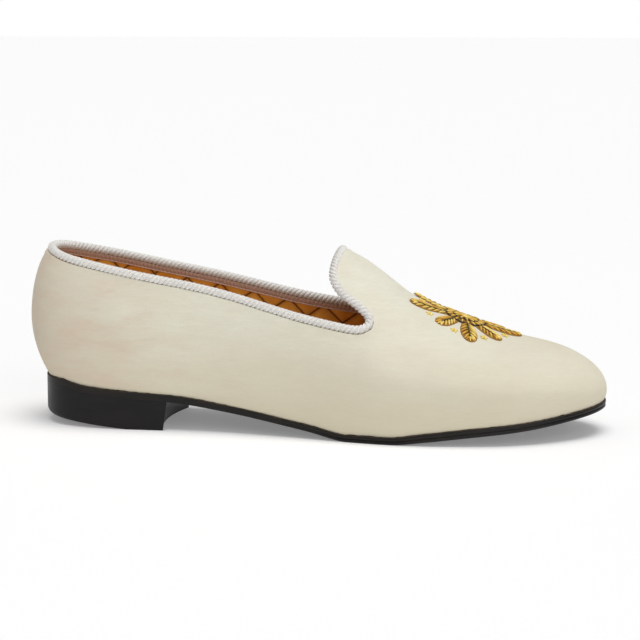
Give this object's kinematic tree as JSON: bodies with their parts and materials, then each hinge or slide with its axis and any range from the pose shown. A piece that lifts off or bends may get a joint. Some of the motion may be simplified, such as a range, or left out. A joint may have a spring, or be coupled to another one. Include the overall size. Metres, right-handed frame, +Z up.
{
  "type": "velvet slipper loafer",
  "caption": "Low slip-on loafer with a velvet upper, a raised tongue, a twisted cord round the collar, a thin sole and a low block heel.",
  "frame": {"origin": "middle of the bounding box, on the floor that the shoe stands on", "axes": "+X from heel to toe, +Y to the medial side, +Z up"},
  "size_m": [0.298, 0.0984, 0.0923],
  "materials": {
    "velvet": "matt cream velvet pile",
    "cord": "white twisted silky cord",
    "sole": "black leather with a waxed edge",
    "heel": "black stacked heel, waxed",
    "insole": "tan leather sock",
    "lining": "amber quilted satin",
    "thread": "gold metal thread embroidery"
  },
  "bodies": {
    "root": {"upper": "velvet", "collar_cord": "cord", "outsole": "sole", "heel": "heel", "insole": "insole", "embroidery": "thread"}
  },
  "joints": []
}
